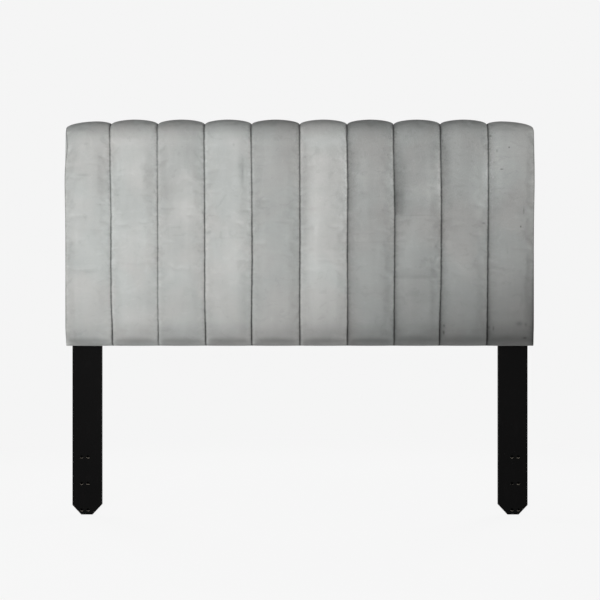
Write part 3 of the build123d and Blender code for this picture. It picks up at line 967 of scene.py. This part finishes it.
def border_row(z, side, seam_x, seam_y):
    """Points of a strip at one height, from the seam round the side of the frame to its back."""
    inset, row = corner_inset(z), []
    bend_depth = velvet_back - bend
    for t in np.linspace(0, 1, side_columns):
        full = side * (panel_side + bulge(z, side) * (1 - 0.6 * t) - inset)
        tuck = seam_tuck * exp(-((t / tuck_share) ** 2))
        x = full + (seam_x - full) * exp(-t / side_share) - side * tuck
        row.append((x, seam_y + (bend_depth - seam_y) * t, z))
    for a in (0.5, 1.05, pi / 2):
        turned_x = side * (panel_side - inset - bend + bend * cos(a))
        row.append((turned_x, bend_depth + bend * sin(a) - border_lift, z))
    for reach in (0.010, 0.018, 0.026, 0.034, 0.042, 0.045):
        row.append((side * (panel_side - inset - border_inset - reach), velvet_back - border_lift, z))
    return row


def side_border(name, side):
    """Velvet strip on one side of the panel: -1 is left and 1 is right."""
    seam = seam_line(0 if side < 0 else channel_count)
    front = seam[seam[:, 1] < top_turn[0] + 1e-6]
    order = np.argsort(front[:, 2])
    over_top = top_turn[1] + top_rows_rise * np.sin(np.linspace(0, pi / 2, corner_rows))[1:]
    heights = np.concatenate([np.linspace(panel_bottom + foot_gap, top_turn[1], side_rows), over_top])
    rows = []
    for z in heights:
        seam_x = np.interp(z, front[order, 2], front[order, 0])
        seam_y = np.interp(z, front[order, 2], front[order, 1])
        if z < panel_bottom + roll_rise:
            seam_y = max(seam_y, front[:, 1][(abs(front[:, 2] - z)).argmin()])
        row = border_row(z, side, seam_x, seam_y)
        if z > top_turn[1]:
            share = (z - top_turn[1]) / (border_top - top_turn[1])
            past = [min(1.0, max(0.0, (y - shoulder) / (velvet_back - shoulder))) for _, y, _ in row]
            roof = [border_foot + (border_top - border_foot) * (1 - p * p) ** 0.5 for p in past]
            row = [(x, y, top_turn[1] + share * (top - top_turn[1])) for (x, y, _), top in zip(row, roof)]
        rows.append(row)
    wide = len(rows[0])
    faces = [(r * wide + c, r * wide + c + 1, (r + 1) * wide + c + 1, (r + 1) * wide + c)
             for r in range(len(rows) - 1) for c in range(wide - 1)]
    if side < 0:
        faces = [f[::-1] for f in faces]
    made = add_mesh(name, [p for row in rows for p in row], faces=faces)
    made.data.shade_smooth()
    made.data.materials.append(grey_velvet)
    return made


for name, side, number in (("left", -1, 1), ("right", 1, channel_count)):
    border = side_border(f"side_strip_{name}", side)
    lay_nap_and_painted_shade(border, number, border=True)
    thick = border.modifiers.new("velvet_thickness", "SOLIDIFY")
    thick.thickness, thick.offset = velvet_thick, -1.0
    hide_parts(f"side_border_{name}")
    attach(border, "root")
    print(border.name, len(border.data.polygons), "faces")

# %% [markdown]
# ## Dust cloth
# The back of such a headboard is closed with thin black non-woven cloth. It is stapled every 60 mm
# near its edge, so the edge draws in slightly between two staples, and the cloth has shallow
# wrinkles that start at them. It lies on the velvet turnovers and sags a little towards the frame
# inside them. The legs are bolted on over it.

# %% Cloth over the back
cloth_left, cloth_right = cloth_low.x, cloth_high.x
cloth_foot, cloth_head = cloth_low.z, cloth_high.z
cloth_wide, cloth_tall = cloth_right - cloth_left, cloth_head - cloth_foot
end_steps, side_steps = 26, 12
end_pitch, side_pitch = cloth_wide / end_steps, cloth_tall / side_steps
cells_wide, cells_tall = 6 * end_steps, 6 * side_steps
edge_pull, pull_fades = 0.0022, 0.012  # how far the edge draws in between two staples
edge_flat, sag_starts, wrinkle_reach = 0.030, 0.030, 0.05
cloth_lift, edge_dip, sag = 0.0005, 0.0004, 0.0011
cloth_thick = 0.0003


def dust_cloth():
    """Thin sheet with drawn-in edges and shallow wrinkles."""
    random = np.random.default_rng(41)
    waves = [(random.uniform(-1, 1), random.uniform(6, 17), random.uniform(0, 6.3), random.uniform(0.4, 1.0))
             for _ in range(9)]
    u, v = np.meshgrid(np.linspace(0, 1, cells_wide + 1), np.linspace(0, 1, cells_tall + 1))
    x, z = cloth_left + cloth_wide * u, cloth_foot + cloth_tall * v
    to_side = np.minimum(x - cloth_left, cloth_right - x)
    to_end = np.minimum(z - cloth_foot, cloth_head - z)
    scallop_x = np.sin(pi * (x - cloth_left) / end_pitch) ** 2
    scallop_z = np.sin(pi * (z - cloth_foot) / side_pitch) ** 2
    z = z + np.where(v < 0.5, 1, -1) * edge_pull * scallop_x * np.exp(-to_end / pull_fades)
    x = x + np.where(u < 0.5, 1, -1) * edge_pull * scallop_z * np.exp(-to_side / pull_fades)
    inside = ease((np.minimum(to_side, to_end) - edge_flat) / sag_starts)
    ripple = sum(weight * np.sin(turn * x * 9 + rate * z + start) for turn, rate, start, weight in waves)
    drawn = scallop_x * np.exp(-to_end / wrinkle_reach) + scallop_z * np.exp(-to_side / wrinkle_reach)
    draw = 0.5 * drawn * (1 - inside)
    y = cloth_low.y + cloth_lift - edge_dip * draw - sag * inside * (0.6 + ripple / len(waves))
    wide = cells_wide + 1
    faces = [(r * wide + c, (r + 1) * wide + c, (r + 1) * wide + c + 1, r * wide + c + 1)
             for r in range(cells_tall) for c in range(cells_wide)]
    points = np.column_stack([x.ravel(), y.ravel(), z.ravel()]).tolist()
    made = add_mesh("dust_cloth", points, faces=faces)
    made.data.shade_smooth()
    return made


def nonwoven(name):
    """Black spun-bonded cloth: matted fibres pressed together by a grid of small dots."""
    felt = Finish(name, roughness=0.95, specular_ior_level=0.2)
    x, _, z = felt.apart(felt.place)
    turn = 2 * pi / 0.0022
    dots = felt.between(felt.math("SINE", (x + z) * turn) * felt.math("SINE", (x - z) * turn), 0.25, 0.7)
    matted = felt.noise(900.0, detail=3.0, roughness=0.7)
    thin = felt.noise(45.0, detail=4.0, roughness=0.65, distortion=0.8)
    return felt.put(base_color=felt.mix(matted * 0.5 + thin * 0.5, rgba(16, 16, 17), rgba(46, 46, 47)),
                    normal=felt.bump(matted * 0.5 - dots * 0.8, 0.0003, 0.7))


back_cloth = dust_cloth()
back_cloth.data.materials.append(nonwoven("black_spunbond"))
thick = back_cloth.modifiers.new("cloth_thickness", "SOLIDIFY")
thick.thickness, thick.offset = cloth_thick, 1.0
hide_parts("dust_cover")
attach(back_cloth, "root")
print("dust cloth", round(cloth_wide, 4), "by", round(cloth_tall, 4))

# %% [markdown]
# ## Staples
# A staple is a short piece of flat galvanised wire. Only its crown shows, 10 mm long and nearly
# level with the cloth. One staple is modelled, and Geometry Nodes set it along the paths at an even
# pitch, each turned and shifted a little, as a staple gun leaves them. Under the legs there are none
# to see, so the paths stop there.

# %% One staple
crown_reach, wire_wide, wire_thick, prong, wire_bend = 0.0050, 0.0011, 0.0006, 0.0016, 0.0006


def staple():
    """Crown and the upper ends of both prongs, as one bent flat wire along X with its back at y = 0."""
    arm = [(crown_reach, -prong), (crown_reach, -wire_bend)]
    arm += [(crown_reach - wire_bend + wire_bend * cos(a), -wire_bend + wire_bend * sin(a))
            for a in (pi / 6, pi / 3, pi / 2)]
    spine = [(-x, y) for x, y in arm] + arm[::-1]
    work = bmesh.new()
    rings = []
    for n, (x, y) in enumerate(spine):
        before, after = spine[max(n - 1, 0)], spine[min(n + 1, len(spine) - 1)]
        run, climb = after[0] - before[0], after[1] - before[1]
        size = hypot(run, climb)
        top = (x + -climb / size * wire_thick, y + run / size * wire_thick)
        half = wire_wide / 2
        rings.append([work.verts.new(p) for p in ((x, y, -half), (*top, -half), (*top, half), (x, y, half))])
    for first, second in zip(rings, rings[1:]):
        for k in range(4):
            work.faces.new((first[k], first[(k + 1) % 4], second[(k + 1) % 4], second[k]))
    work.faces.new(rings[0][::-1])
    work.faces.new(rings[-1])
    bmesh.ops.recalc_face_normals(work, faces=work.faces)
    mesh = bpy.data.meshes.new("one_staple")
    work.to_mesh(mesh)
    work.free()
    return add_object("one_staple", mesh, hidden=True)


def path_object(name, runs):
    """Straight runs as one curve object, each run a polyline."""
    curve = bpy.data.curves.new(name, "CURVE")
    curve.dimensions = "3D"
    for run in runs:
        spline = curve.splines.new("POLY")
        spline.points.add(len(run) - 1)
        for point, place in zip(spline.points, run):
            point.co = (*place, 1.0)
    return add_object(name, curve, hidden=True)


print("staple", 2 * crown_reach, "m wide, of wire", wire_thick, "m thick")

# %% Geometry Nodes that set staples along a path
gun = Recipe("staples_along_path", {
    "Path": "Object", "Staple": "Object", "Pitch": "Float", "Seed": "Int", "Turn": "Float",
    "Shift": "Float", "Steel": "Material"})
given = gun.given
sockets = {"Curve": gun.shape_of("Path"), "Length": given["Pitch"]}
places = gun.node("GeometryNodeCurveToPoints", {"mode": "LENGTH"}, sockets)
along = Socket(gun, places.output.node.outputs["Tangent"])


def spread(reach, seed):
    """Random value for each staple, from -reach to reach."""
    sockets = {2: -reach, 3: reach, 8: seed}
    return gun.node("FunctionNodeRandomValue", {"data_type": "FLOAT"}, sockets, output=1)


shift, turn = spread(given["Shift"], given["Seed"] + 7), spread(given["Turn"], given["Seed"])
step = gun.node("ShaderNodeVectorMath", {"operation": "SCALE"}, {0: along, "Scale": shift})
moved = gun.node("GeometryNodeSetPosition", None, {"Geometry": places, "Offset": step})
axes = {"axis": "X", "pivot_axis": "Y"}
level = gun.node("FunctionNodeAlignRotationToVector", axes, {"Vector": along})
twist = gun.node("FunctionNodeAxisAngleToRotation", None, {"Axis": (0.0, 1.0, 0.0), "Angle": turn})
sockets = {"Rotation": level, "Rotate By": twist}
turned = gun.node("FunctionNodeRotateRotation", {"rotation_space": "LOCAL"}, sockets)
sockets = {"Points": moved, "Instance": gun.shape_of("Staple"), "Rotation": turned}
gun.end(gun.node("GeometryNodeInstanceOnPoints", None, sockets), "Steel")


# %% Finish of the staples
def steel(name, dark, light, rough):
    """Plated or blackened steel with fine turned marks."""
    metal = Finish(name, metallic=1.0)
    turned = metal.noise(900.0, (1.0, 0.2, 1.0), detail=2.0)
    bloom = metal.noise(120.0, detail=3.0, roughness=0.6)
    return metal.put(base_color=metal.mix(bloom, rgba(*dark), rgba(*light)), roughness=rough + turned * 0.15,
                     normal=metal.bump(turned, 0.0001, 0.4))


zinc = steel("zinc_plate", (160, 164, 170), (196, 199, 202), 0.30)
print(len(zinc.node_tree.nodes), "nodes in the zinc plate")

# %% Staples of the dust cloth
from_edge, sunk = 0.008, 0.0001
beside_leg, above_leg = 0.01, 0.02
staple_y = cloth_high.y - sunk
end_places = [cloth_left + n * end_pitch for n in range(1, end_steps)]
foot_places = [x for x in end_places if abs(x) < leg_low.x - beside_leg]
side_places = [cloth_foot + n * side_pitch for n in range(1, side_steps)]
side_places = [z for z in side_places if z > leg_high.z + above_leg]
head_z, foot_z = cloth_head - from_edge, cloth_foot + from_edge
runs = [[(end_places[0], staple_y, head_z), (end_places[-1], staple_y, head_z)],
        [(foot_places[0], staple_y, foot_z), (foot_places[-1], staple_y, foot_z)]]
for x in (cloth_left + from_edge, cloth_right - from_edge):
    runs.append([(x, staple_y, side_places[0]), (x, staple_y, side_places[-1])])
staple_path, one_staple = path_object("staple_path", runs), staple()
staples = gun.make("dust_cloth_staples", {
    "Path": staple_path, "Staple": one_staple, "Pitch": 0.999 * min(end_pitch, side_pitch), "Seed": 5,
    "Turn": 0.10, "Shift": 0.0015, "Steel": zinc})
for helper in (staple_path, one_staple):
    bpy.data.objects.remove(helper)
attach(staples, "root")
print(len(staples.data.polygons), "faces in the staples")

# %% [markdown]
# ## Wood, board, paint and steel
# The frame is softwood whose grain runs along each board. The face board is fibreboard, an even
# brown with short fibres. The legs have satin black paint with a fine orange peel and some dust.
# On their fronts a painted glint, a light crescent, lies under the lower rim of each hole. The bolts
# are blackened steel, the inserts are zinc plated.


# %% Finishes of the frame and the board
def softwood(name, along):
    """Planed pine whose grain runs along X or Z."""
    wood = Finish(name, roughness=0.65, specular_ior_level=0.3)
    stretch = (0.06, 1.0, 1.0) if along == "x" else (1.0, 1.0, 0.06)
    rings = wood.noise(34.0, stretch, detail=2.0, distortion=0.4)
    fibres = wood.noise(420.0, stretch, detail=3.0, roughness=0.7)
    bands = wood.math("SINE", rings * 38.0) * 0.5 + 0.5
    colour = wood.mix(bands * 0.6 + fibres * 0.4, rgba(214, 180, 128), rgba(176, 132, 82))
    relief = wood.bump(fibres * 0.5 + bands * 0.5, 0.0004, 0.5)
    return wood.put(base_color=colour, roughness=0.6 + fibres * 0.15, normal=relief)


def fibreboard(name):
    """Hard-pressed brown board with short fibres."""
    board = Finish(name, roughness=0.8, specular_ior_level=0.2)
    fibres = board.noise(300.0, (0.4, 1.0, 1.0), detail=3.0, roughness=0.7, distortion=0.5)
    cloud = board.noise(12.0, detail=3.0)
    colour = board.mix(fibres * 0.6 + cloud * 0.4, rgba(124, 92, 62), rgba(166, 130, 92))
    return board.put(base_color=colour, normal=board.bump(fibres, 0.0003, 0.6))


# %% Finish of the legs
hole_first_row, hole_row_pitch, hole_spacing = 0.017, 0.090, 0.0215
hole_middle = (leg_low.x + leg_high.x) / 2 + 0.007
# the painted glint lies in a ring round each hole, between these distances from its middle
glint_inside, glint_outside = (0.0046, 0.0049), (0.0056, 0.0060)  # distances from a hole's middle
glint_below, holes_end, front_skin = (-0.0035, -0.0025), (0.210, 0.215), (0.001, 0.003)


def black_paint(name):
    """Satin black paint on smooth plywood, with a painted glint under the lower rim of each hole."""
    coat = Finish(name, roughness=0.55, specular_ior_level=0.03)
    x, y, z = coat.apart(coat.place)
    aside = coat.math("ABSOLUTE", coat.math("ABSOLUTE", x) - hole_middle) - hole_spacing / 2
    half_pitch = hole_row_pitch / 2
    level = coat.math("FLOORED_MODULO", z - hole_first_row + half_pitch, hole_row_pitch) - half_pitch
    from_hole = (aside ** 2.0 + level * level) ** 0.5
    # painted glint: a light crescent under the lower rim of each hole, on the front face of the leg
    ring = coat.between(from_hole, *glint_inside) * coat.between(from_hole, *glint_outside, 1.0, 0.0)
    below = coat.between(level, *glint_below, 1.0, 0.0) * coat.between(z, *holes_end, 1.0, 0.0)
    front = coat.between(y, leg_low.y + front_skin[0], leg_low.y + front_skin[1], 1.0, 0.0)
    painted_glint = ring * below * front * coat.between(coat.noise(150.0), 0.35, 0.45)
    peel = coat.noise(240.0, detail=2.0)
    cloud = coat.noise(9.0, detail=4.0, roughness=0.6)
    dusty = coat.between(coat.noise(60.0, (1.0, 1.0, 0.3), detail=3.0), 0.55, 0.75)
    painted = coat.mix(cloud * 0.6 + dusty * 0.4, rgba(5, 5, 5), rgba(12, 11, 11))
    colour = coat.mix(painted_glint, painted, rgba(128, 122, 112))
    return coat.put(base_color=colour, roughness=0.5 + peel * 0.12, normal=coat.bump(peel, 0.0002, 0.5))


leg_paint = black_paint("satin_black")
print("holes at", round(hole_middle - hole_spacing / 2, 4), "and", round(hole_middle + hole_spacing / 2, 4))

# %% Give each CAD node its finish
pine_across, pine_upright = softwood("pine_along_x", "x"), softwood("pine_along_z", "z")
black_steel = steel("blackened_steel", (34, 34, 36), (58, 58, 60), 0.34)
finishes = {"face_board": fibreboard("brown_board"), "top_rail": pine_across, "bottom_rail": pine_across,
            "inner_stile_1": pine_upright, "inner_stile_2": pine_upright}
for side_name in ("left", "right"):
    finishes[f"{side_name}_end_board"] = pine_upright
    finishes[f"{side_name}_leg"] = leg_paint
    finishes[f"{side_name}_leg_bolts"] = black_steel
    finishes[f"{side_name}_leg_inserts"] = zinc
for node, finish in finishes.items():
    cad_nodes[node].data.materials.clear()
    cad_nodes[node].data.materials.append(finish)
print(len(finishes), "CAD nodes have their finish")

# %% Finish
for line in seams + crowns:
    bpy.data.objects.remove(line)
